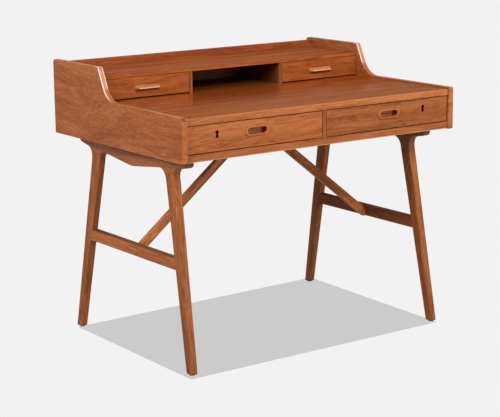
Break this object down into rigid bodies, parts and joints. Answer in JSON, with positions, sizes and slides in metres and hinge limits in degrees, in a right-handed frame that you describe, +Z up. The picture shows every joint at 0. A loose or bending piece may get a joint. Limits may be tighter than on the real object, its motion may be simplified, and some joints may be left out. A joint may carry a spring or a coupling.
{
  "type": "writing desk",
  "caption": "Writing desk with a raised rear gallery, locking drawers under the top and small gallery drawers, on splayed leg frames with stretchers and slanting braces.",
  "frame": {"origin": "on the floor, under the middle of the desk's outline", "axes": "+X to the sitter's right along the desk, +Y from the sitter to the back, +Z up"},
  "size_m": [0.982, 0.708, 0.833],
  "materials": {
    "teak_veneer": "oiled teak veneer, satin",
    "teak_solid": "oiled solid teak, satin",
    "drawer_wood": "waxed oak or beech",
    "drawer_bottom": "sanded plywood",
    "steel": "plain steel",
    "brass": "dull brass",
    "glide_plastic": "black nylon"
  },
  "bodies": {
    "desk": {"writing_top": "teak_veneer", "top_front_lipping": "teak_solid", "case_bottom": "teak_veneer", "bottom_front_lipping": "teak_solid", "back_panel": "teak_veneer", "centre_partition": "teak_solid", "drawer_stops": "drawer_wood", "gallery_shelf": "teak_solid", "lock_strikes": "brass", "rail_screws": "steel", "brace_screws": "steel", "leg_dowels": "drawer_wood", "foot_glides": "glide_plastic", "side_panel_left": "teak_veneer", "gallery_divider_left": "teak_solid", "front_leg_left": "teak_solid", "back_leg_left": "teak_solid", "top_rail_left": "teak_solid", "stretcher_left": "teak_solid", "brace_left": "teak_solid", "left_drawer_runners": "drawer_wood", "side_panel_right": "teak_veneer", "gallery_divider_right": "teak_solid", "front_leg_right": "teak_solid", "back_leg_right": "teak_solid", "top_rail_right": "teak_solid", "stretcher_right": "teak_solid", "brace_right": "teak_solid", "right_drawer_runners": "drawer_wood"},
    "left_drawer": {"left_drawer_front": "teak_veneer", "left_drawer_left_side": "drawer_wood", "left_drawer_right_side": "drawer_wood", "left_drawer_back": "drawer_wood", "left_drawer_bottom": "drawer_bottom", "left_drawer_pull": "teak_solid", "left_drawer_lock_case": "steel", "left_drawer_lock_screws": "steel"},
    "left_drawer_bolt": {"left_drawer_lock_bolt": "brass"},
    "left_small_drawer": {"left_small_drawer_front": "teak_veneer", "left_small_drawer_left_side": "drawer_wood", "left_small_drawer_right_side": "drawer_wood", "left_small_drawer_back": "drawer_wood", "left_small_drawer_bottom": "drawer_bottom", "left_small_drawer_handle": "teak_solid"},
    "right_drawer": {"right_drawer_front": "teak_veneer", "right_drawer_left_side": "drawer_wood", "right_drawer_right_side": "drawer_wood", "right_drawer_back": "drawer_wood", "right_drawer_bottom": "drawer_bottom", "right_drawer_pull": "teak_solid", "right_drawer_lock_case": "steel", "right_drawer_lock_screws": "steel"},
    "right_drawer_bolt": {"right_drawer_lock_bolt": "brass"},
    "right_small_drawer": {"right_small_drawer_front": "teak_veneer", "right_small_drawer_left_side": "drawer_wood", "right_small_drawer_right_side": "drawer_wood", "right_small_drawer_back": "drawer_wood", "right_small_drawer_bottom": "drawer_bottom", "right_small_drawer_handle": "teak_solid"}
  },
  "joints": [
    {"name": "left_drawer_slide", "type": "slide", "parent": "desk", "child": "left_drawer", "axis": [0, -1, 0], "range_m": [0, 0.38]},
    {"name": "left_drawer_bolt_throw", "type": "slide", "parent": "left_drawer", "child": "left_drawer_bolt", "axis": [0, 0, 1], "range_m": [0, 0.007]},
    {"name": "left_small_drawer_slide", "type": "slide", "parent": "desk", "child": "left_small_drawer", "axis": [0, -1, 0], "range_m": [0, 0.16]},
    {"name": "right_drawer_slide", "type": "slide", "parent": "desk", "child": "right_drawer", "axis": [0, -1, 0], "range_m": [0, 0.38]},
    {"name": "right_drawer_bolt_throw", "type": "slide", "parent": "right_drawer", "child": "right_drawer_bolt", "axis": [0, 0, 1], "range_m": [0, 0.007]},
    {"name": "right_small_drawer_slide", "type": "slide", "parent": "desk", "child": "right_small_drawer", "axis": [0, -1, 0], "range_m": [0, 0.16]}
  ]
}
